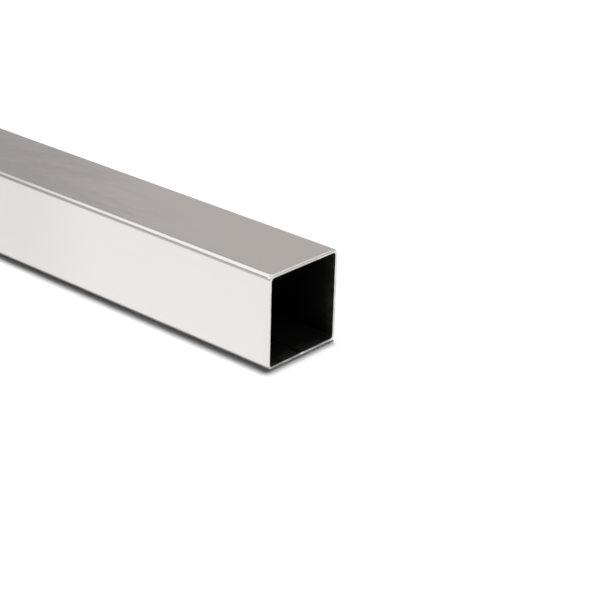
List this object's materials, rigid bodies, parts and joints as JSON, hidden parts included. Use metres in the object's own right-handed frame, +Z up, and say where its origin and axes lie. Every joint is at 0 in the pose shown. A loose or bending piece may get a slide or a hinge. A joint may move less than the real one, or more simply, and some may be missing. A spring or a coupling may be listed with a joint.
{
  "type": "square tube",
  "caption": "Straight length of thin-walled square stainless steel tube, open at both ends, with rounded corners and a low weld bead inside.",
  "frame": {"origin": "middle of the bottom outside face, half way along the tube, on the surface that it lies on", "axes": "+X along the tube towards the sawn end that faces the viewer, +Z up, -Y towards the side face that shows beside it"},
  "size_m": [1, 0.04, 0.04],
  "materials": {
    "stainless_steel": "smooth satin polish outside, duller as-rolled surface inside, bare sawn ends"
  },
  "bodies": {
    "root": {"square_tube": "stainless_steel"}
  },
  "joints": []
}
